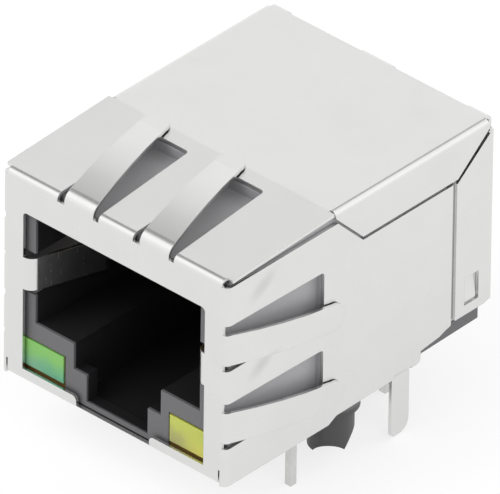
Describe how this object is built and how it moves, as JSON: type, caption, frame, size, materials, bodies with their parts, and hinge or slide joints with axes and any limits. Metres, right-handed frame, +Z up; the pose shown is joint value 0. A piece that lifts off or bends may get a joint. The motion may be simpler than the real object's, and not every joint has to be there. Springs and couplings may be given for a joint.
{
  "type": "shielded modular board jack",
  "caption": "Right-angle board-mounted modular network jack with a folded metal shield, spring fingers, status lamps in the front and built-in magnetics.",
  "frame": {"origin": "on the circuit board's top face, midway between the two locating pegs", "axes": "+Z up from the board, +Y from the port's mouth to the rear cover, +X across the front from the green lamp to the yellow lamp"},
  "size_m": [0.0168, 0.0208, 0.0172],
  "materials": {
    "shield_metal": "satin nickel plating on sheet brass",
    "housing_plastic": "moulded, fine matt",
    "carrier_plastic": "moulded, fine matt",
    "case_plastic": "moulded, fine matt",
    "board_laminate": "green lacquer on laminate",
    "contact_gilt": "gold plating on spring bronze",
    "pin_tin": "bright tin plating",
    "lamp_green": "tinted, slightly cloudy",
    "lamp_yellow": "tinted, slightly cloudy",
    "core_ferrite": "coated, matt",
    "winding_wire": "lacquered wire",
    "chip_body": "fired, matt"
  },
  "bodies": {
    "root": {"shield": "shield_metal", "housing": "housing_plastic", "contact_carrier": "carrier_plastic", "module_board": "board_laminate", "coil_case": "case_plastic", "contact_1": "contact_gilt", "contact_2": "contact_gilt", "contact_3": "contact_gilt", "contact_4": "contact_gilt", "contact_5": "contact_gilt", "contact_6": "contact_gilt", "contact_7": "contact_gilt", "contact_8": "contact_gilt", "signal_pin_1": "pin_tin", "signal_pin_2": "pin_tin", "signal_pin_3": "pin_tin", "signal_pin_4": "pin_tin", "signal_pin_5": "pin_tin", "signal_pin_6": "pin_tin", "signal_pin_7": "pin_tin", "signal_pin_8": "pin_tin", "led_green": "lamp_green", "led_yellow": "lamp_yellow", "led_lead_1": "pin_tin", "led_lead_2": "pin_tin", "led_lead_3": "pin_tin", "led_lead_4": "pin_tin", "core_1": "core_ferrite", "core_2": "core_ferrite", "core_3": "core_ferrite", "core_4": "core_ferrite", "winding_1": "winding_wire", "winding_2": "winding_wire", "winding_3": "winding_wire", "winding_4": "winding_wire", "capacitor": "chip_body", "resistor_1": "chip_body", "resistor_2": "chip_body", "resistor_3": "chip_body", "resistor_4": "chip_body"}
  },
  "joints": []
}
